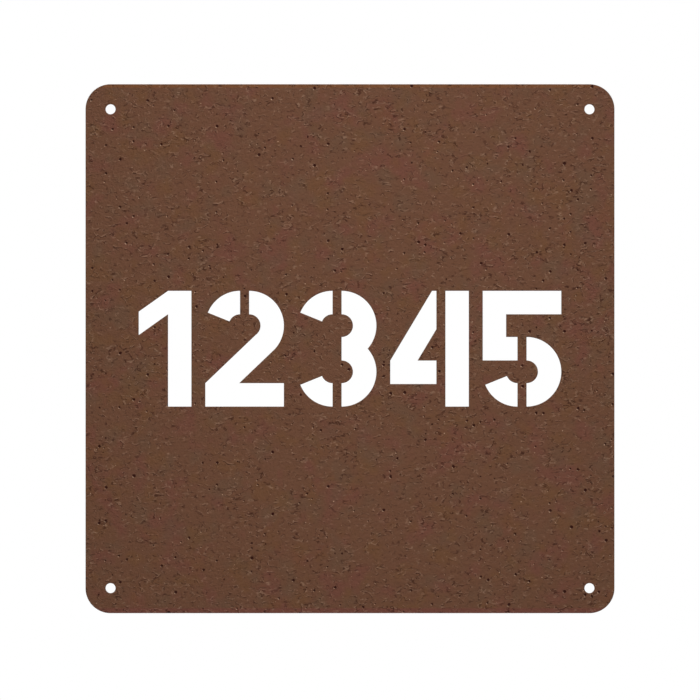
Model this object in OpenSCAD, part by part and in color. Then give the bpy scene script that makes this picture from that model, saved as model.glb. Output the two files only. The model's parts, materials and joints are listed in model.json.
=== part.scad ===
// A square wall sign of cut sheet steel, with a number cut through it as a stencil.
// The back face lies in the plane Y = 0, against the wall, and the front faces -Y.
// The origin is the centre of the back face, which is the centre of the screw holes.

/* [Plate] */
// Width of the plate
plate_w = 304.8; // [285:0.1:400]
// Height of the plate
plate_h = 304.8; // [120:0.1:400]
// Thickness of the sheet with its coat
sheet_t = 2; // [1:0.1:6]
// Radius of the plate's corners
corner_r = 14.4; // [4:0.1:30]

/* [Screw holes] */
// Diameter of a screw hole
screw_hole_d = 5.8; // [3:0.1:9]
// Distance from an edge of the plate to the centre of a hole
screw_inset = 14.4; // [9:0.1:20]

/* [Number] */
// The number that is cut through the plate
number = "12345"; // ["12345", "67890"]
// Height of a digit
digit_h = 66.7; // [50:0.1:72]
// Width of a stroke
stroke_w = 13.5; // [8:0.1:16]
// Width of the bridges that hold the middle of a digit in the plate
bridge_w = 5.2; // [3:0.1:9]
// Clear space between two digits
digit_gap = 8; // [5:0.1:14]
// Width of the digit 1, from the tip of its flag to its far side
one_w = 30.4; // [24:0.1:38]
// Drop of the flag of the digit 1
flag_drop = 12; // [4:0.1:20]
// Height of the crossbar of the digit 4 above its foot
crossbar_z = 13; // [8:0.1:20]
// Width of the blunt tip of the digit 4, beside its bridge
tip_w = 2.5; // [1:0.1:5]
// Angle that a loose end turns through, past the bridge that splits a bowl
terminal_angle = 68; // [50:1:85]

/* [Hidden] */
$fn = 96;
COAT = "#654535";
neck_set = 0.05;

// Two bowls, one on the other, share the stroke between them, so a digit is as high as two
// outer circles less one stroke. Its width is one circle, parted in the middle by the bridge.
bowl_r = (digit_h + stroke_w) / 4;
bowl_in_r = bowl_r - stroke_w;
digit_w = 2 * bowl_r + bridge_w;
left_x = bowl_r;
right_x = digit_w - bowl_r;
low_y = bowl_r;
high_y = digit_h - bowl_r;
middle_y = (digit_h - stroke_w) / 2;

function width_of(digit) = digit == "1" ? one_w : digit_w;

// Left side of the digit at place i, with the whole number centred on x = 0
function widths_before(i) = i == 0 ? 0 : widths_before(i - 1) + width_of(number[i - 1]) + digit_gap;
number_w = widths_before(len(number)) - digit_gap;
function digit_x(i) = widths_before(i) - number_w / 2;

// A straight stroke with square ends, from its lower left corner
module bar(x, y, w, h) {
    translate([x, y]) square([w, h]);
}

// A curved stroke round the centre x, y, anticlockwise from one angle to the other
module arc(x, y, from, to) {
    quarters = ceil((to - from) / 90);
    reach = 2 * bowl_r;
    translate([x, y]) intersection() {
        difference() {
            circle(bowl_r);
            circle(bowl_in_r);
        }
        polygon([
            [0, 0],
            for (i = [0 : quarters])
                let (a = min(from + 90 * i, to)) reach * [cos(a), sin(a)]
        ]);
    }
}

// The half of a bowl on the right of the bridge
module right_bowl(y) {
    arc(right_x, y, -90, 90);
}

// The half of a bowl on the left of the bridge
module left_bowl(y) {
    arc(left_x, y, 90, 270);
}

module digit_0() {
    arc(right_x, high_y, 0, 90);
    arc(left_x, high_y, 90, 180);
    arc(left_x, low_y, 180, 270);
    arc(right_x, low_y, 270, 360);
    for (x = [0, digit_w - stroke_w])
        bar(x, low_y, stroke_w, high_y - low_y);
}

module digit_1() {
    flag_w = one_w - stroke_w;
    bar(flag_w, 0, stroke_w, digit_h);
    polygon([
        [flag_w, digit_h],
        [0, digit_h - flag_drop],
        [0, digit_h - flag_drop - stroke_w],
        [flag_w, digit_h - stroke_w]
    ]);
}

// One outline trims the bowl and the neck, which runs up from the foot's top left corner. It
// sets each edge of the neck a little inside its circle of the bowl, so that the edge crosses
// the circle and doesn't just touch it.
module digit_2() {
    corner = [0, stroke_w];
    centre = [right_x, high_y];
    edge_r = bowl_in_r - neck_set;
    to_centre = centre - corner;
    slope = atan2(to_centre.y, to_centre.x) - asin(edge_r / norm(to_centre));
    neck_l = sqrt(pow(norm(to_centre), 2) - pow(edge_r, 2));
    along = [cos(slope), sin(slope)];
    across = [sin(slope), -cos(slope)];
    reach = 2 * digit_h;
    arc(left_x, high_y, 90, 90 + terminal_angle);
    bar(0, 0, digit_w, stroke_w);
    intersection() {
        difference() {
            union() {
                translate(centre) circle(bowl_r);
                translate(corner) rotate(slope)
                    bar(-stroke_w, -2 * stroke_w, neck_l + stroke_w, 3 * stroke_w);
            }
            translate(centre) circle(bowl_in_r);
        }
        polygon([
            corner,
            corner + stroke_w * across,
            corner + stroke_w * across + reach * along,
            [right_x, reach],
            centre,
            corner + neck_l * along
        ]);
    }
}

module digit_3() {
    arc(left_x, high_y, 90, 90 + terminal_angle);
    arc(left_x, low_y, 270 - terminal_angle, 270);
    right_bowl(high_y);
    right_bowl(low_y);
}

// The bridge beside the stem holds the triangle between the stem and the slope
module digit_4() {
    stem_x = digit_w - stroke_w;
    split_x = stem_x - bridge_w;
    bar_top = crossbar_z + stroke_w;
    tip_x = split_x - tip_w;
    slope = atan2(digit_h - bar_top, tip_x);
    slope_w = stroke_w / sin(slope);
    bar(stem_x, 0, stroke_w, digit_h);
    bar(0, crossbar_z, split_x, stroke_w);
    intersection() {
        polygon([
            [0, bar_top],
            [tip_x, digit_h],
            [tip_x + slope_w, digit_h],
            [slope_w, bar_top]
        ]);
        bar(0, crossbar_z, split_x, digit_h - crossbar_z);
    }
}

module digit_5() {
    bar(0, digit_h - stroke_w, digit_w, stroke_w);
    bar(0, middle_y, stroke_w, digit_h - middle_y);
    bar(0, middle_y, left_x, stroke_w);
    right_bowl(low_y);
    arc(left_x, low_y, 270 - terminal_angle, 270);
}

module digit_6() {
    arc(left_x, high_y, 90, 180);
    bar(0, low_y, stroke_w, high_y - low_y);
    left_bowl(low_y);
    right_bowl(low_y);
    arc(right_x, high_y, 90 - terminal_angle, 90);
}

// The slope runs down from the right end of the top stroke
module digit_7() {
    slope = atan2(digit_h - stroke_w, bowl_r);
    slope_w = stroke_w / sin(slope);
    foot_x = digit_w - bowl_r;
    bar(0, digit_h - stroke_w, digit_w, stroke_w);
    polygon([
        [digit_w, digit_h - stroke_w],
        [foot_x, 0],
        [foot_x - slope_w, 0],
        [digit_w - slope_w, digit_h - stroke_w]
    ]);
}

module digit_8() {
    for (y = [low_y, high_y]) {
        left_bowl(y);
        right_bowl(y);
    }
}

module digit_9() {
    translate([digit_w, digit_h]) rotate(180) digit_6();
}

module digit(character) {
    if (character == "0") digit_0();
    if (character == "1") digit_1();
    if (character == "2") digit_2();
    if (character == "3") digit_3();
    if (character == "4") digit_4();
    if (character == "5") digit_5();
    if (character == "6") digit_6();
    if (character == "7") digit_7();
    if (character == "8") digit_8();
    if (character == "9") digit_9();
}

module number_cut() {
    for (i = [0 : len(number) - 1])
        translate([digit_x(i), -digit_h / 2]) digit(number[i]);
}

// Puts what it is given at the same inset from each corner of the plate
module at_corners(inset) {
    for (x = [-1, 1], y = [-1, 1])
        translate([x * (plate_w / 2 - inset), y * (plate_h / 2 - inset)]) children();
}

module plate_outline() {
    square([plate_w - 2 * corner_r, plate_h], center = true);
    square([plate_w, plate_h - 2 * corner_r], center = true);
    at_corners(corner_r) circle(corner_r);
}

module sign_plate() {
    color(COAT) rotate([90, 0, 0]) linear_extrude(sheet_t) difference() {
        plate_outline();
        at_corners(screw_inset) circle(d = screw_hole_d);
        number_cut();
    }
}

sign_plate();
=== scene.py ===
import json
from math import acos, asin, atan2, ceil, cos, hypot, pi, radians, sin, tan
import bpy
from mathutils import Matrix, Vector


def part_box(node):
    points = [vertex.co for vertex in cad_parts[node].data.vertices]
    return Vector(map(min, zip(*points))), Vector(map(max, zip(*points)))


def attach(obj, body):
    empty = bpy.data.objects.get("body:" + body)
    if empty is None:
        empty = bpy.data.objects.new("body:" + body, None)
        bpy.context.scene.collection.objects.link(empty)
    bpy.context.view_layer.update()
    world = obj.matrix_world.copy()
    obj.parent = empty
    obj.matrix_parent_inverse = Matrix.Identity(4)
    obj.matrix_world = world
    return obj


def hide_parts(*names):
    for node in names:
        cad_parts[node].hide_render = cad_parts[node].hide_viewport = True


bl_info = {
    "name": "Stencil number sign",
    "version": (1, 0, 0),
    "blender": (4, 5, 0),
    "location": "3D View > Sidebar > Sign",
    "description": "Makes a powder coated wall sign with a number cut through it, and its stage",
    "category": "Add Mesh",
}

from types import SimpleNamespace

import bmesh
import bpy
from bpy.props import (
    FloatProperty,
    FloatVectorProperty,
    IntProperty,
    PointerProperty,
    StringProperty,
)

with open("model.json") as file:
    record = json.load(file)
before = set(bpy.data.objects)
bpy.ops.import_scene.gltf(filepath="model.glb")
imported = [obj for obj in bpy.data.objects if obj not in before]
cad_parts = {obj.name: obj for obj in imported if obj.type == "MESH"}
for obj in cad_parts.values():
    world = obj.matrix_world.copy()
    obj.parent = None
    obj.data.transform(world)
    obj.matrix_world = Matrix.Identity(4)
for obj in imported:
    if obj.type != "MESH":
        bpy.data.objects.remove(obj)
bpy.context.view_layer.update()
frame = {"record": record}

PLATE_LOW, PLATE_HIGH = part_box("sign_plate")
SCREWS = next(m for m in frame["record"]["mounts"] if m["name"] == "wall_screws")["dims"]

MM = 0.001
QUARTER = pi / 2

# Farthest that a chord of a drawn arc lies inside its circle, in millimetres
CHORD_ERROR = 0.004

# How far inside the bowl's circles the neck of the digit 2 meets them, in millimetres
NECK_SET = 0.05

# Sockets of a Mix node that is set to colours, where several sockets share each name
MIX_FACTOR, MIX_A, MIX_B, MIX_RESULT = 0, 6, 7, 2

WHITE = (1, 1, 1, 1)


def linear(hex_colour):
    """An sRGB colour such as #654535, as the linear values that Blender's sockets hold."""
    channels = [int(hex_colour[i:i + 2], 16) / 255 for i in (1, 3, 5)]
    return [c / 12.92 if c <= 0.04045 else ((c + 0.055) / 1.055) ** 2.4 for c in channels]


# Settings


class PlateSizes(bpy.types.PropertyGroup):
    """Sizes of the sheet and its screw holes"""

    width: FloatProperty(
        name="Width",
        description="Width of the plate",
        default=PLATE_HIGH.x - PLATE_LOW.x,
        unit="LENGTH",
    )
    height: FloatProperty(
        name="Height",
        description="Height of the plate",
        default=PLATE_HIGH.z - PLATE_LOW.z,
        unit="LENGTH",
    )
    thickness: FloatProperty(
        name="Thickness",
        description="Thickness of the sheet with its coat",
        default=PLATE_HIGH.y - PLATE_LOW.y,
        unit="LENGTH",
    )
    corner_radius: FloatProperty(
        name="Corner Radius",
        description="Radius of the plate's corners",
        default=14.4 * MM,
        unit="LENGTH",
    )
    hole_radius: FloatProperty(
        name="Hole Radius",
        description="Radius of a screw hole",
        default=SCREWS["hole_r_mm"] * MM,
        unit="LENGTH",
    )
    hole_span_x: FloatProperty(
        name="Hole Span Across",
        description="Distance between the centres of the left and right screw holes",
        default=SCREWS["spacing_x_mm"] * MM,
        unit="LENGTH",
    )
    hole_span_z: FloatProperty(
        name="Hole Span Up",
        description="Distance between the centres of the lower and upper screw holes",
        default=SCREWS["spacing_y_mm"] * MM,
        unit="LENGTH",
    )
    edge_round: FloatProperty(
        name="Edge Round",
        description="Radius to which the coat rounds every edge of the sheet",
        default=0.35 * MM,
        unit="LENGTH",
    )
    edge_steps: IntProperty(
        name="Edge Steps",
        description="Steps that round an edge",
        default=3,
        min=1,
        max=8,
    )


class NumberSizes(bpy.types.PropertyGroup):
    """The number that is cut through the plate, and its sizes"""

    number: StringProperty(
        name="Number",
        description="Digits that are cut through the plate",
        default="12345",
    )
    digit_height: FloatProperty(
        name="Digit Height",
        description="Height of a digit",
        default=66.7 * MM,
        unit="LENGTH",
    )
    stroke: FloatProperty(
        name="Stroke",
        description="Width of a stroke",
        default=13.5 * MM,
        unit="LENGTH",
    )
    bridge: FloatProperty(
        name="Bridge",
        description="Width of the bridges that hold the middle of a digit in the plate",
        default=5.2 * MM,
        unit="LENGTH",
    )
    gap: FloatProperty(
        name="Gap",
        description="Clear space between two digits",
        default=8 * MM,
        unit="LENGTH",
    )
    one_width: FloatProperty(
        name="Width of 1",
        description="Width of the digit 1 with its flag",
        default=30.4 * MM,
        unit="LENGTH",
    )
    flag_drop: FloatProperty(
        name="Flag Drop",
        description="Drop of the flag of the digit 1",
        default=12 * MM,
        unit="LENGTH",
    )
    crossbar: FloatProperty(
        name="Crossbar Height",
        description="Height of the crossbar of the digit 4 above its foot",
        default=13 * MM,
        unit="LENGTH",
    )
    tip: FloatProperty(
        name="Tip of 4",
        description="Width of the blunt tip of the digit 4, beside its bridge",
        default=2.5 * MM,
        unit="LENGTH",
    )
    loose_end: FloatProperty(
        name="Loose End",
        description="Angle that a loose end turns through, past the bridge that splits a bowl",
        default=radians(68),
        subtype="ANGLE",
    )


class CoatLook(bpy.types.PropertyGroup):
    """Colours and texture of the powder coat"""

    brown: FloatVectorProperty(
        name="Brown",
        description="Main colour of the coat",
        default=linear("#634230"),
        subtype="COLOR",
        min=0,
        max=1,
    )
    red_brown: FloatVectorProperty(
        name="Red Brown",
        description="Colour of the coat's redder clouds",
        default=linear("#683E33"),
        subtype="COLOR",
        min=0,
        max=1,
    )
    olive_brown: FloatVectorProperty(
        name="Olive Brown",
        description="Colour of the coat's greener clouds",
        default=linear("#5D4635"),
        subtype="COLOR",
        min=0,
        max=1,
    )
    orange_brown: FloatVectorProperty(
        name="Orange Brown",
        description="Colour of the coat's yellower clouds",
        default=linear("#664527"),
        subtype="COLOR",
        min=0,
        max=1,
    )
    # A painted highlight: the warm band along the top edge stands in for light from above
    # catching it
    painted_top_highlight: FloatVectorProperty(
        name="Painted Top Highlight",
        description="Colour where the coat is thin, along the top edge",
        default=linear("#714628"),
        subtype="COLOR",
        min=0,
        max=1,
    )
    # The dark of the pinholes, and painted shade on one side of each wrinkle
    pit_and_shade: FloatVectorProperty(
        name="Pit And Shade",
        description="Colour in the pinholes and on the shaded side of the wrinkles",
        default=linear("#2A0800"),
        subtype="COLOR",
        min=0,
        max=1,
    )
    # Pale grains, and a painted highlight on the rims of the pinholes and on one side of each
    # wrinkle
    grit_and_highlight: FloatVectorProperty(
        name="Grit And Highlight",
        description="Colour of the pale grains that stand out of the coat",
        default=linear("#AB8B73"),
        subtype="COLOR",
        min=0,
        max=1,
    )
    roughness: FloatProperty(
        name="Roughness",
        description="Roughness of the coat's surface",
        default=0.66,
        min=0,
        max=1,
        subtype="FACTOR",
    )
    grain_size: FloatProperty(
        name="Grain Size",
        description="Size of the grains of sand, as they are drawn",
        default=1.4 * MM,
        min=0.1 * MM,
        unit="LENGTH",
    )
    grain_height: FloatProperty(
        name="Grain Height",
        description="Height of the noise that makes the grains",
        default=0.9 * MM,
        unit="LENGTH",
    )
    wrinkle_size: FloatProperty(
        name="Wrinkle Size",
        description="Size of the noise whose contours the wrinkles follow",
        default=2.7 * MM,
        min=0.1 * MM,
        unit="LENGTH",
    )
    wrinkle_height: FloatProperty(
        name="Wrinkle Height",
        description="Height of a wrinkle above and below the coat",
        default=0.15 * MM,
        unit="LENGTH",
    )
    wrinkle_shade: FloatProperty(
        name="Wrinkle Shade",
        description="How strongly the dark side of a wrinkle shows",
        default=0.76,
        min=0,
        max=1,
        subtype="FACTOR",
    )
    # The pale side of a wrinkle is a painted highlight
    wrinkle_highlight: FloatProperty(
        name="Wrinkle Highlight",
        description="How strongly the pale side of a wrinkle shows",
        default=0.27,
        min=0,
        max=1,
        subtype="FACTOR",
    )
    speck_spacing: FloatProperty(
        name="Speck Spacing",
        description="Size of the cells that hold one pinhole or pale grain each",
        default=4 * MM,
        min=0.5 * MM,
        unit="LENGTH",
    )


class StageSettings(bpy.types.PropertyGroup):
    """Camera, light and floor"""

    lens: FloatProperty(
        name="Lens",
        description="Focal length of the camera, in millimetres",
        default=200,
        unit="CAMERA",
    )
    view_width: FloatProperty(
        name="View Width",
        description="Width that the picture covers at the front of the plate",
        default=403.3 * MM,
        unit="LENGTH",
    )
    view_drop: FloatProperty(
        name="View Drop",
        description="Height of the camera below the middle of the plate",
        default=0.75 * MM,
        unit="LENGTH",
    )
    floor_drop: FloatProperty(
        name="Floor Drop",
        description="Height of the floor below the middle of the plate, out of the picture",
        default=0.45,
        unit="LENGTH",
    )
    floor_radius: FloatProperty(
        name="Floor Radius",
        description="Radius of the floor",
        default=0.8,
        unit="LENGTH",
    )
    room_light: FloatProperty(
        name="Room Light",
        description="Strength of the white room as light on the sign",
        default=0.23,
        min=0,
    )


# Outlines, as lists of points in millimetres, seen from the front with the foot at zero


def arc(x, y, radius, start, end):
    """Points on an arc round x, y; it runs clockwise if the end angle is less than the start."""
    steps = ceil(abs(end - start) / (2 * acos(1 - CHORD_ERROR / radius)))
    turns = [start + (end - start) * i / steps for i in range(steps + 1)]
    return [(x + radius * cos(a), y + radius * sin(a)) for a in turns]


def circle(x, y, radius):
    """Points on a full circle, with none given twice."""
    return arc(x, y, radius, 0, 2 * pi)[:-1]


def bar(left, foot, right, top):
    """A straight stroke with square ends."""
    return [(left, foot), (right, foot), (right, top), (left, top)]


def ring(d, x, y, start, end):
    """A part of a bowl, as wide as a stroke."""
    return arc(x, y, d.outer, start, end) + arc(x, y, d.inner, end, start)


def flipped(d, outline):
    """The mirror image, left to right."""
    return [(d.width - x, y) for x, y in outline]


def turned(d, outline):
    """The same outline upside down."""
    return [(d.width - x, d.height - y) for x, y in outline]


def digit_frame(sizes):
    """The lines that all digits share. Two bowls, one on the other, share the stroke between
    them, and a digit is as wide as one bowl parted in the middle by a bridge."""
    height, stroke, bridge = sizes.digit_height / MM, sizes.stroke / MM, sizes.bridge / MM
    outer = (height + stroke) / 4
    width = 2 * outer + bridge
    return SimpleNamespace(
        height=height,
        stroke=stroke,
        bridge=bridge,
        outer=outer,
        inner=outer - stroke,
        width=width,
        left=outer,
        right=width - outer,
        low=outer,
        high=height - outer,
        middle=(height - stroke) / 2,
        one_width=sizes.one_width / MM,
        flag_drop=sizes.flag_drop / MM,
        crossbar=sizes.crossbar / MM,
        tip=sizes.tip / MM,
        loose_end=sizes.loose_end,
    )


def upper_loose_end(d):
    return ring(d, d.left, d.high, QUARTER, QUARTER + d.loose_end)


def lower_loose_end(d):
    return ring(d, d.left, d.low, 3 * QUARTER - d.loose_end, 3 * QUARTER)


def double_bowl(d):
    """The right halves of two bowls, which share the stroke between them."""
    # The two outer circles meet halfway up the digit
    waist = asin((d.high - d.height / 2) / d.outer)
    return (
        arc(d.right, d.high, d.outer, QUARTER, -waist)
        + arc(d.right, d.low, d.outer, waist, -QUARTER)
        + arc(d.right, d.low, d.inner, -QUARTER, QUARTER)
        + arc(d.right, d.high, d.inner, -QUARTER, QUARTER)
    )


def zero(d):
    half = (
        arc(d.left, d.high, d.outer, QUARTER, pi)
        + arc(d.left, d.low, d.outer, pi, 3 * QUARTER)
        + arc(d.left, d.low, d.inner, 3 * QUARTER, pi)
        + arc(d.left, d.high, d.inner, pi, QUARTER)
    )
    return [half, flipped(d, half)]


def one(d):
    stem = d.one_width - d.stroke
    return [[
        (0, d.height - d.flag_drop),
        (stem, d.height),
        (d.one_width, d.height),
        (d.one_width, 0),
        (stem, 0),
        (stem, d.height - d.stroke),
        (0, d.height - d.flag_drop - d.stroke),
    ]]


def two(d):
    """The neck runs from the top left corner of the foot, and its edges meet the bowl's circles
    a hair inside the points where they would only touch them, as in the part's source."""
    edge = d.inner - NECK_SET
    reach = hypot(d.right, d.high - d.stroke)
    slope = atan2(d.high - d.stroke, d.right) - asin(edge / reach)
    lower_edge = slope - QUARTER + acos((edge + d.stroke) / d.outer)
    upper_edge = slope - QUARTER - acos(edge / d.inner)
    body = (
        arc(d.right, d.high, d.outer, QUARTER, lower_edge)
        + [(d.stroke / sin(slope), d.stroke), (d.width, d.stroke), (d.width, 0), (0, 0)]
        + [(0, d.stroke)]
        + arc(d.right, d.high, d.inner, upper_edge, QUARTER)
    )
    return [upper_loose_end(d), body]


def three(d):
    return [upper_loose_end(d), lower_loose_end(d), double_bowl(d)]


def four(d):
    """The bridge beside the stem holds the triangle between the stem and the slope."""
    stem = d.width - d.stroke
    split = stem - d.bridge
    bar_top = d.crossbar + d.stroke
    tip_x = split - d.tip
    slope = atan2(d.height - bar_top, tip_x)
    slope_width = d.stroke / sin(slope)
    left_side = [
        (0, d.crossbar),
        (split, d.crossbar),
        (split, bar_top),
        (slope_width, bar_top),
        (split, bar_top + (split - slope_width) * tan(slope)),
        (split, d.height),
        (tip_x, d.height),
        (0, bar_top),
    ]
    return [left_side, bar(stem, 0, d.width, d.height)]


def five(d):
    flag = [
        (0, d.height),
        (d.width, d.height),
        (d.width, d.height - d.stroke),
        (d.stroke, d.height - d.stroke),
        (d.stroke, d.middle + d.stroke),
        (d.left, d.middle + d.stroke),
        (d.left, d.middle),
        (0, d.middle),
    ]
    return [flag, ring(d, d.right, d.low, -QUARTER, QUARTER), lower_loose_end(d)]


def six(d):
    # The outer circle of the low bowl meets the inner line of the side stroke
    side = acos((d.left - d.stroke) / d.outer)
    left_side = (
        arc(d.left, d.high, d.outer, QUARTER, pi)
        + arc(d.left, d.low, d.outer, pi, 3 * QUARTER)
        + arc(d.left, d.low, d.inner, 3 * QUARTER, QUARTER)
        + arc(d.left, d.low, d.outer, QUARTER, pi - side)
        + arc(d.left, d.high, d.inner, pi, QUARTER)
    )
    bowl = ring(d, d.right, d.low, -QUARTER, QUARTER)
    loose_end = ring(d, d.right, d.high, QUARTER - d.loose_end, QUARTER)
    return [left_side, bowl, loose_end]


def seven(d):
    foot = d.width - d.outer
    bar_foot = d.height - d.stroke
    slope_width = d.stroke / sin(atan2(bar_foot, d.outer))
    return [[
        (0, d.height),
        (d.width, d.height),
        (d.width, bar_foot),
        (foot, 0),
        (foot - slope_width, 0),
        (d.width - slope_width, bar_foot),
        (0, bar_foot),
    ]]


def eight(d):
    return [double_bowl(d), flipped(d, double_bowl(d))]


def nine(d):
    return [turned(d, outline) for outline in six(d)]


DIGITS = dict(zip("0123456789", (zero, one, two, three, four, five, six, seven, eight, nine)))


def number_outlines(sizes):
    """The outlines of all digits, with the number centred on the plate."""
    unknown = set(sizes.number) - set(DIGITS)
    if unknown or not sizes.number:
        raise ValueError("The number on the sign has to be made of the digits 0 to 9")
    d = digit_frame(sizes)
    gap = sizes.gap / MM
    widths = [d.one_width if digit == "1" else d.width for digit in sizes.number]
    x = -(sum(widths) + gap * (len(widths) - 1)) / 2
    outlines = []
    for digit, width in zip(sizes.number, widths):
        for outline in DIGITS[digit](d):
            outlines.append([(x + px, py - d.height / 2) for px, py in outline])
        x += width + gap
    return outlines


def plate_outlines(sizes):
    """The outline of the sheet and its four screw holes."""
    radius = sizes.corner_radius / MM
    x, y = sizes.width / MM / 2 - radius, sizes.height / MM / 2 - radius
    corners = [(x, y, 0), (-x, y, QUARTER), (-x, -y, pi), (x, -y, 3 * QUARTER)]
    edge = [p for cx, cy, a in corners for p in arc(cx, cy, radius, a, a + QUARTER)]
    half_x, half_y = sizes.hole_span_x / MM / 2, sizes.hole_span_z / MM / 2
    holes = [
        circle(sx * half_x, sy * half_y, sizes.hole_radius / MM)
        for sx in (-1, 1)
        for sy in (-1, 1)
    ]
    return [edge, *holes]


# Materials


def add_node(tree, kind, inputs=None, **settings):
    """Adds one node with its settings, and gives each named input its value or its link."""
    node = tree.nodes.new(kind)
    for name, value in settings.items():
        setattr(node, name, value)
    for key, value in (inputs or {}).items():
        if isinstance(value, bpy.types.NodeSocket):
            tree.links.new(value, node.inputs[key])
        else:
            node.inputs[key].default_value = value
    return node


def empty_tree(owner):
    owner.use_nodes = True
    owner.node_tree.nodes.clear()
    return owner.node_tree


def coat_clouds(tree, look, place):
    """Gives the colour of the coat, with clouds where the powder lay thicker or thinner."""
    colour = (*look.brown, 1)
    # Colour, size in millimetres, seed, and how strongly the clouds show
    clouds = (
        (look.red_brown, 16, 3.1, 0.65),
        (look.olive_brown, 14, 11.7, 0.45),
        (look.orange_brown, 12, 27.3, 0.35),
    )
    for tint, size, seed, strength in clouds:
        cloud = add_node(
            tree,
            "ShaderNodeTexNoise",
            {"Vector": place, "W": seed, "Scale": 1 / size, "Detail": 2, "Roughness": 0.5},
            noise_dimensions="4D",
        ).outputs[0]
        share = add_node(
            tree,
            "ShaderNodeMapRange",
            {"Value": cloud, "From Min": 0.5, "From Max": 0.68, "To Min": 0, "To Max": strength},
            interpolation_type="SMOOTHSTEP",
        ).outputs[0]
        colour = add_node(
            tree,
            "ShaderNodeMix",
            {MIX_FACTOR: share, MIX_A: colour, MIX_B: (*tint, 1)},
            data_type="RGBA",
        ).outputs[MIX_RESULT]
    return colour


def coat_ends(tree, look, place, half_height, colour):
    """A warm painted highlight along the top edge, where light from above would catch it, and a
    redder band along the foot, each over the last few millimetres. Gives the colour with both."""
    up = add_node(tree, "ShaderNodeSeparateXYZ", {"Vector": place}).outputs["Z"]
    end = half_height / MM
    # Colour, the heights where its band starts and where it is full, and how strongly it shows
    bands = (
        # The top band is a painted highlight, the foot band is only redder
        (look.painted_top_highlight, end - 2.4, end - 1.6, 0.7),
        (look.red_brown, 3.6 - end, 2.2 - end, 0.9),
    )
    for tint, start, full, strength in bands:
        share = add_node(
            tree,
            "ShaderNodeMapRange",
            {"Value": up, "From Min": start, "From Max": full, "To Min": 0, "To Max": strength},
            interpolation_type="SMOOTHSTEP",
        ).outputs[0]
        colour = add_node(
            tree,
            "ShaderNodeMix",
            {MIX_FACTOR: share, MIX_A: colour, MIX_B: (*tint, 1)},
            data_type="RGBA",
        ).outputs[MIX_RESULT]
    return colour


def coat_wrinkles(tree, look, place):
    """Short low creases, each about 1 mm wide and a few millimetres long, that run more across
    the plate than up it. They follow a contour of a noise, and two other noises break them up
    and gather them in patches. Gives the painted light and shade on their sides, from -1 for
    painted shade to 1 for a painted highlight, and their height, from -1 to 1."""
    stretched = add_node(
        tree, "ShaderNodeMapping", {"Vector": place, "Scale": (0.5, 1, 1)}
    ).outputs[0]
    contour = add_node(
        tree,
        "ShaderNodeTexNoise",
        {
            "Vector": stretched,
            "Scale": MM / look.wrinkle_size,
            "Detail": 2,
            "Roughness": 0.5,
            "Distortion": 0.6,
        },
    ).outputs[0]
    # The way across a crease is one turn, and all that lies outside it is at one of the ends
    across = add_node(
        tree,
        "ShaderNodeMapRange",
        {"Value": contour, "From Min": 0.43, "From Max": 0.57, "To Min": -pi, "To Max": pi},
    ).outputs[0]
    painted_light_and_shade = add_node(tree, "ShaderNodeMath", {0: across}, operation="SINE").outputs[0]
    height = add_node(tree, "ShaderNodeMath", {0: across}, operation="COSINE").outputs[0]
    # Size in millimetres, seed, the noise's values between which a patch comes in, and how much
    # of a crease is left outside the patches
    breaks = ((2.6, 8.2, 0.44, 0.6, 0), (9, 5.5, 0.3, 0.6, 0.35))
    strength = 1
    for size, seed, low, high, least in breaks:
        patches = add_node(
            tree,
            "ShaderNodeTexNoise",
            {"Vector": place, "W": seed, "Scale": 1 / size, "Detail": 1},
            noise_dimensions="4D",
        ).outputs[0]
        patches = add_node(
            tree,
            "ShaderNodeMapRange",
            {"Value": patches, "From Min": low, "From Max": high, "To Min": least, "To Max": 1},
            interpolation_type="SMOOTHSTEP",
        ).outputs[0]
        strength = add_node(
            tree, "ShaderNodeMath", {0: patches, 1: strength}, operation="MULTIPLY"
        ).outputs[0]
    painted_light_and_shade = add_node(
        tree, "ShaderNodeMath", {0: painted_light_and_shade, 1: strength}, operation="MULTIPLY"
    ).outputs[0]
    height = add_node(
        tree, "ShaderNodeMath", {0: height, 1: strength}, operation="MULTIPLY"
    ).outputs[0]
    return painted_light_and_shade, height


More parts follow.
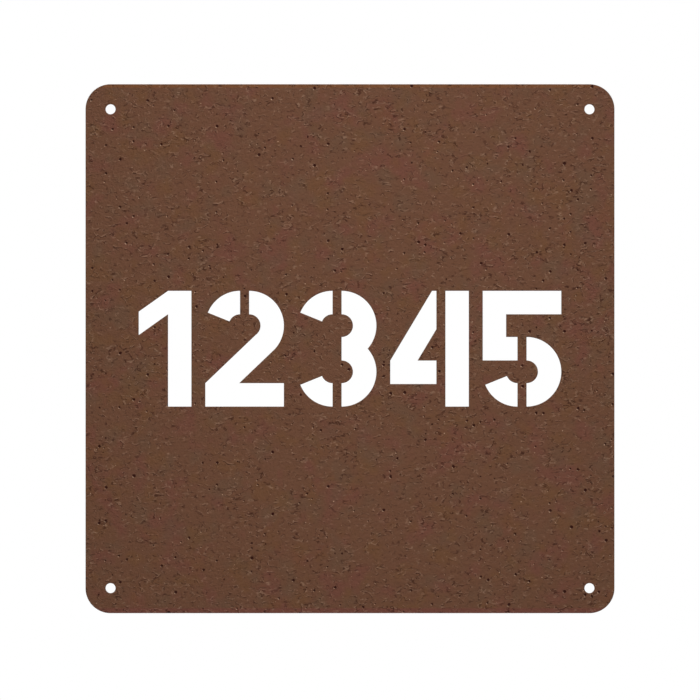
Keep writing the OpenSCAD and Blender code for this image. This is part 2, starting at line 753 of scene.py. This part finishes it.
def coat_specks(tree, look, place, colour, height):
    """Dark pinholes, each with a painted highlight on a pale rim below and beside it, where
    light from above would catch it, and pale grains. Each is a ball in a cell, and shows where
    the surface cuts it. Gives the colour and the height with them."""
    # A small push makes the balls uneven
    push = add_node(
        tree, "ShaderNodeTexNoise", {"Vector": place, "Scale": 1 / 0.9, "Detail": 1}
    ).outputs["Color"]
    uneven = add_node(
        tree,
        "ShaderNodeVectorMath",
        {0: push, 1: (0.7, 0.7, 0.7), 2: place},
        operation="MULTIPLY_ADD",
    ).outputs[0]
    # Colour, shift and rise in millimetres, and the size of the largest, as a share of the cell.
    # The first row is the painted highlight beside each pinhole, the second the pinholes, the
    # third the pale grains.
    specks = (
        (look.grit_and_highlight, (0.4, 0, 0.5), 0, 0.12),
        (look.pit_and_shade, (0, 0, 0), -0.2, 0.2),
        (look.grit_and_highlight, (41, 17, 23), 0.1, 0.04),
    )
    smallest, soft_edge = 0.015, 0.04
    for tint, shift, rise, largest in specks:
        cells = add_node(
            tree, "ShaderNodeMapping", {"Vector": uneven, "Location": shift}
        ).outputs[0]
        cells = add_node(
            tree, "ShaderNodeTexVoronoi", {"Vector": cells, "Scale": MM / look.speck_spacing}
        )
        # Each cell has a random colour. A high power of its red leaves few balls that are large.
        chance = add_node(
            tree, "ShaderNodeSeparateColor", {"Color": cells.outputs["Color"]}
        ).outputs["Red"]
        chance = add_node(
            tree, "ShaderNodeMath", {0: chance, 1: 4}, operation="POWER"
        ).outputs[0]
        size = add_node(
            tree,
            "ShaderNodeMath",
            {0: chance, 1: largest, 2: smallest},
            operation="MULTIPLY_ADD",
        ).outputs[0]
        outside = add_node(
            tree,
            "ShaderNodeMath",
            {0: cells.outputs["Distance"], 1: size},
            operation="SUBTRACT",
        ).outputs[0]
        speck = add_node(
            tree,
            "ShaderNodeMapRange",
            {"Value": outside, "From Min": 0, "From Max": soft_edge, "To Min": 1, "To Max": 0},
            interpolation_type="SMOOTHSTEP",
        ).outputs[0]
        colour = add_node(
            tree,
            "ShaderNodeMix",
            {MIX_FACTOR: speck, MIX_A: colour, MIX_B: (*tint, 1)},
            data_type="RGBA",
        ).outputs[MIX_RESULT]
        height = add_node(
            tree,
            "ShaderNodeMath",
            {0: speck, 1: rise, 2: height},
            operation="MULTIPLY_ADD",
        ).outputs[0]
    return colour, height


def powder_coat(look, half_height):
    """Brown sand-texture powder coat, baked on steel. It gives the eye a matt dark brown with
    soft redder and greener clouds 10 to 20 mm across where the powder lay thicker or thinner,
    low sandy wrinkles in patches with painted shade on one side and a painted highlight on the
    other, a sprinkle of dark pinholes, each with a painted highlight on its rim, and pale
    grains. A painted highlight runs along the top edge, a redder band along the foot, and
    painted shade over the cut edges."""
    material = bpy.data.materials.new("brown sand-texture powder coat")
    tree = empty_tree(material)
    coordinates = add_node(tree, "ShaderNodeTexCoord")
    # One unit of this is a millimetre
    place = add_node(
        tree,
        "ShaderNodeMapping",
        {"Vector": coordinates.outputs["Object"], "Scale": (1 / MM,) * 3},
    ).outputs[0]
    colour = coat_clouds(tree, look, place)
    colour = coat_ends(tree, look, place, half_height, colour)

    # The sand in such a coat is 0.2 to 0.5 mm across, which is too fine to show in the render,
    # so its grain is drawn coarser
    grain = add_node(
        tree,
        "ShaderNodeTexNoise",
        {"Vector": place, "Scale": MM / look.grain_size, "Detail": 3, "Roughness": 0.65},
    ).outputs[0]
    # Painted shade and highlight: the grain's tone differs at random and follows its height,
    # darker in its low parts and lighter on its high parts
    grain_tone_and_shade = add_node(
        tree,
        "ShaderNodeMapRange",
        {"Value": grain, "From Min": 0.2, "From Max": 0.8, "To Min": 0.93, "To Max": 1.07},
    ).outputs[0]
    colour = add_node(
        tree,
        "ShaderNodeMix",
        {MIX_FACTOR: 1, MIX_A: colour, MIX_B: grain_tone_and_shade},
        data_type="RGBA",
        blend_type="MULTIPLY",
    ).outputs[MIX_RESULT]

    # A mix takes a share below 0 as none, so painted shade shows on one side of a wrinkle and a
    # painted highlight on the other
    painted_light_and_shade, wrinkles = coat_wrinkles(tree, look, place)
    for tint, share in ((look.pit_and_shade, -look.wrinkle_shade), (look.grit_and_highlight, look.wrinkle_highlight)):
        side = add_node(
            tree, "ShaderNodeMath", {0: painted_light_and_shade, 1: share}, operation="MULTIPLY"
        ).outputs[0]
        colour = add_node(
            tree,
            "ShaderNodeMix",
            {MIX_FACTOR: side, MIX_A: colour, MIX_B: (*tint, 1)},
            data_type="RGBA",
        ).outputs[MIX_RESULT]

    # The height of the surface is in millimetres
    height = add_node(
        tree,
        "ShaderNodeMath",
        {0: wrinkles, 1: look.wrinkle_height / MM},
        operation="MULTIPLY",
    ).outputs[0]
    height = add_node(
        tree,
        "ShaderNodeMath",
        {0: grain, 1: look.grain_height / MM, 2: height},
        operation="MULTIPLY_ADD",
    ).outputs[0]
    colour, height = coat_specks(tree, look, place, colour, height)
    normal = add_node(
        tree, "ShaderNodeBump", {"Height": height, "Distance": MM, "Strength": 1}
    ).outputs["Normal"]

    # Painted shade over the cut edges: the rounds and walls are darker the more they turn away
    # from the front
    facing = add_node(
        tree, "ShaderNodeSeparateXYZ", {"Vector": coordinates.outputs["Normal"]}
    ).outputs["Y"]
    facing = add_node(
        tree, "ShaderNodeMath", {0: facing}, operation="ABSOLUTE"
    ).outputs[0]
    painted_edge_shade = add_node(
        tree,
        "ShaderNodeMapRange",
        {"Value": facing, "From Min": 0.75, "From Max": 0.99, "To Min": 0.85, "To Max": 1},
    ).outputs[0]
    colour = add_node(
        tree,
        "ShaderNodeMix",
        {MIX_FACTOR: 1, MIX_A: colour, MIX_B: painted_edge_shade},
        data_type="RGBA",
        blend_type="MULTIPLY",
    ).outputs[MIX_RESULT]

    spread = 0.08
    roughness = add_node(
        tree,
        "ShaderNodeMapRange",
        {
            "Value": grain,
            "From Min": 0.2,
            "From Max": 0.8,
            "To Min": look.roughness - spread,
            "To Max": look.roughness + spread,
        },
    ).outputs[0]
    coat = add_node(
        tree,
        "ShaderNodeBsdfPrincipled",
        {
            "Base Color": colour,
            "Roughness": roughness,
            "Normal": normal,
            "Metallic": 0,
            "IOR": 1.5,
            "Specular IOR Level": 0.1,
        },
    ).outputs["BSDF"]
    add_node(tree, "ShaderNodeOutputMaterial", {"Surface": coat})
    return material


def studio_floor(radius):
    """Matt white painted board. It gives the eye a plain pale ground that takes a soft shadow
    under the sign, and runs out into the white background towards its edge. From below it is
    clear, so that the foot of the sign can be seen from there too."""
    material = bpy.data.materials.new("matt white studio floor")
    tree = empty_tree(material)
    place = add_node(tree, "ShaderNodeTexCoord").outputs["Object"]
    flat = add_node(
        tree, "ShaderNodeVectorMath", {0: place, 1: (1, 1, 0)}, operation="MULTIPLY"
    ).outputs["Vector"]
    from_middle = add_node(
        tree, "ShaderNodeVectorMath", {0: flat}, operation="LENGTH"
    ).outputs["Value"]
    fade_start, fade_end = 0.35 * radius, 0.95 * radius
    fade = add_node(
        tree,
        "ShaderNodeMapRange",
        {"Value": from_middle, "From Min": fade_start, "From Max": fade_end},
        interpolation_type="SMOOTHSTEP",
    ).outputs[0]
    seen = add_node(tree, "ShaderNodeLightPath").outputs["Is Camera Ray"]
    fade = add_node(tree, "ShaderNodeMath", {0: fade, 1: seen}, operation="MULTIPLY").outputs[0]
    board = add_node(
        tree,
        "ShaderNodeBsdfPrincipled",
        {"Base Color": (*linear("#E8E6E2"), 1), "Roughness": 0.9, "Specular IOR Level": 0.2},
    ).outputs["BSDF"]
    white = add_node(
        tree, "ShaderNodeEmission", {"Color": WHITE, "Strength": 1}
    ).outputs["Emission"]
    shown = add_node(tree, "ShaderNodeMixShader", {0: fade, 1: board, 2: white}).outputs[0]
    from_below = add_node(tree, "ShaderNodeNewGeometry").outputs["Backfacing"]
    clear = add_node(tree, "ShaderNodeBsdfTransparent").outputs[0]
    shown = add_node(
        tree, "ShaderNodeMixShader", {0: from_below, 1: shown, 2: clear}
    ).outputs[0]
    add_node(tree, "ShaderNodeOutputMaterial", {"Surface": shown})
    return material


# Pieces


def deselect_all():
    bpy.ops.object.select_all(action="DESELECT")


def check_closed(obj):
    """Raises if the mesh has an open edge or is inside out."""
    mesh = bmesh.new()
    mesh.from_mesh(obj.data)
    open_edges = [edge for edge in mesh.edges if len(edge.link_faces) != 2]
    volume = mesh.calc_volume(signed=True)
    mesh.free()
    if open_edges or volume <= 0:
        raise RuntimeError(f"{obj.name} has {len(open_edges)} open edges, volume {volume}")


class SIGN_OT_add_plate(bpy.types.Operator):
    """Make the powder coated plate with the number cut through it"""

    bl_idname = "sign.add_plate"
    bl_label = "Add Coated Plate"
    bl_options = {"REGISTER", "UNDO"}

    def execute(self, context):
        sizes, number = context.scene.sign_plate, context.scene.sign_number
        deselect_all()

        # A flat curve's fill joins points closer than 0.03 units, so it is drawn in millimetres
        bpy.ops.object.add(type="CURVE", location=(0, 0, 0))
        plate = context.object
        plate.name = plate.data.name = "coated_plate"
        sketch = plate.data
        sketch.dimensions = "2D"
        sketch.fill_mode = "BOTH"
        for outline in plate_outlines(sizes) + number_outlines(number):
            spline = sketch.splines.new("POLY")
            spline.points.add(len(outline) - 1)
            spline.points.foreach_set("co", [c for x, y in outline for c in (x, y, 0, 1)])
            spline.use_cyclic_u = True

        # The round eats into the sheet, so that the walls of the cut stay where they are drawn
        edge_round = sizes.edge_round / MM
        sketch.extrude = sizes.thickness / MM / 2 - edge_round
        sketch.bevel_depth = edge_round
        sketch.bevel_resolution = sizes.edge_steps
        sketch.offset = -edge_round
        bpy.ops.object.convert(target="MESH")

        # Stand it up with its back in the plane of the wall
        plate.rotation_euler = (QUARTER, 0, 0)
        plate.scale = (MM, MM, MM)
        plate.location = (0, PLATE_HIGH.y - sizes.thickness / 2, 0)
        bpy.ops.object.transform_apply(location=True, rotation=True, scale=True)

        bpy.ops.object.mode_set(mode="EDIT")
        bpy.ops.mesh.select_all(action="SELECT")
        bpy.ops.mesh.remove_doubles(threshold=0.001 * MM)
        # The fill of the flat faces is triangles, a few of them without area between points on
        # one line. This turns their edges, and leaves the walls and rounds, which are quads.
        bpy.ops.mesh.beautify_fill(angle_limit=pi)
        bpy.ops.mesh.normals_make_consistent(inside=False)
        bpy.ops.object.mode_set(mode="OBJECT")
        check_closed(plate)

        # The big flat faces keep their flat shading, and the rounds run smoothly into them
        bpy.ops.object.shade_smooth_by_angle(angle=radians(40))
        bpy.ops.object.modifier_add(type="WEIGHTED_NORMAL")
        plate.modifiers[-1].keep_sharp = True
        bpy.ops.object.modifier_apply(modifier=plate.modifiers[-1].name)

        plate.data.materials.clear()
        plate.data.materials.append(powder_coat(context.scene.sign_coat, sizes.height / 2))
        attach(plate, "root")
        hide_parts("sign_plate")
        return {"FINISHED"}


class SIGN_OT_add_stage(bpy.types.Operator):
    """Make the floor, the lamps, the white background and the camera"""

    bl_idname = "sign.add_stage"
    bl_label = "Add Stage"
    bl_options = {"REGISTER", "UNDO"}

    def execute(self, context):
        stage = context.scene.sign_stage
        self.add_floor(context, stage)
        self.add_background(context, stage)
        self.add_lamps(context)
        self.add_camera(context, stage)
        context.scene.view_settings.view_transform = "Standard"
        return {"FINISHED"}

    def add_floor(self, context, stage):
        deselect_all()
        bpy.ops.mesh.primitive_circle_add(
            vertices=96,
            radius=stage.floor_radius,
            fill_type="NGON",
            location=(0, 0, -stage.floor_drop),
        )
        floor = context.object
        floor.name = floor.data.name = "studio_floor"
        bpy.ops.object.transform_apply(location=True, rotation=True, scale=True)
        floor.data.materials.append(studio_floor(stage.floor_radius))

    def add_background(self, context, stage):
        """White to the camera, in gloss and through glass, and softer as light on the sign."""
        world = bpy.data.worlds.new("white studio")
        context.scene.world = world
        tree = empty_tree(world)
        path = add_node(tree, "ShaderNodeLightPath")
        seen = path.outputs["Is Camera Ray"]
        for ray in ("Is Glossy Ray", "Is Transmission Ray"):
            seen = add_node(
                tree, "ShaderNodeMath", {0: seen, 1: path.outputs[ray]}, operation="MAXIMUM"
            ).outputs[0]
        soft = add_node(
            tree, "ShaderNodeBackground", {"Color": WHITE, "Strength": stage.room_light}
        ).outputs[0]
        white = add_node(
            tree, "ShaderNodeBackground", {"Color": WHITE, "Strength": 1}
        ).outputs[0]
        shown = add_node(tree, "ShaderNodeMixShader", {0: seen, 1: soft, 2: white}).outputs[0]
        add_node(tree, "ShaderNodeOutputWorld", {"Surface": shown})

    def add_lamps(self, context):
        """Soft boxes: name, place, turn, size across and power in watts."""
        lamps = (
            ("front_lamp", (0.03, -0.55, 0.07), (radians(85), 0, radians(2)), 0.24, 1.34),
            ("top_lamp", (0.06, -0.6, 1.2), (radians(26.6), 0, radians(6)), 0.6, 13),
            ("back_lamp", (-0.3, 1.5, 0.9), (radians(-60), 0, radians(11)), 1.2, 25),
        )
        for name, place, turn, size, power in lamps:
            deselect_all()
            bpy.ops.object.light_add(type="AREA", location=place, rotation=turn)
            lamp = context.object
            lamp.name = lamp.data.name = name
            lamp.data.shape = "DISK"
            lamp.data.size = size
            lamp.data.energy = power
            lamp.visible_camera = False

    def add_camera(self, context, stage):
        """Square on to the plate, as far away as its long lens needs."""
        deselect_all()
        bpy.ops.object.camera_add(rotation=(QUARTER, 0, 0))
        camera = context.object
        camera.name = camera.data.name = "front_camera"
        camera.data.lens = stage.lens
        camera.data.clip_start = 0.01
        camera.data.clip_end = 50
        away = stage.view_width * camera.data.lens / camera.data.sensor_width
        camera.location = (0, PLATE_LOW.y - away, -stage.view_drop)
        context.scene.camera = camera


class SIGN_PT_sidebar(bpy.types.Panel):
    """Lists the settings and the pieces of the sign"""

    bl_idname = "SIGN_PT_sidebar"
    bl_label = "Stencil Number Sign"
    bl_space_type = "VIEW_3D"
    bl_region_type = "UI"
    bl_category = "Sign"

    def draw(self, context):
        scene = context.scene
        layout = self.layout
        for settings in (scene.sign_plate, scene.sign_number, scene.sign_coat):
            box = layout.box()
            for name in settings.__annotations__:
                box.prop(settings, name)
        layout.operator(SIGN_OT_add_plate.bl_idname)
        box = layout.box()
        for name in scene.sign_stage.__annotations__:
            box.prop(scene.sign_stage, name)
        layout.operator(SIGN_OT_add_stage.bl_idname)


SETTINGS = {
    "sign_plate": PlateSizes,
    "sign_number": NumberSizes,
    "sign_coat": CoatLook,
    "sign_stage": StageSettings,
}
CLASSES = (*SETTINGS.values(), SIGN_OT_add_plate, SIGN_OT_add_stage, SIGN_PT_sidebar)


def register():
    for cls in CLASSES:
        bpy.utils.register_class(cls)
    for name, cls in SETTINGS.items():
        setattr(bpy.types.Scene, name, PointerProperty(type=cls))


def unregister():
    for name in SETTINGS:
        delattr(bpy.types.Scene, name)
    for cls in reversed(CLASSES):
        bpy.utils.unregister_class(cls)


def main():
    register()
    bpy.ops.sign.add_plate()
    bpy.ops.sign.add_stage()


if __name__ == "__main__":
    main()
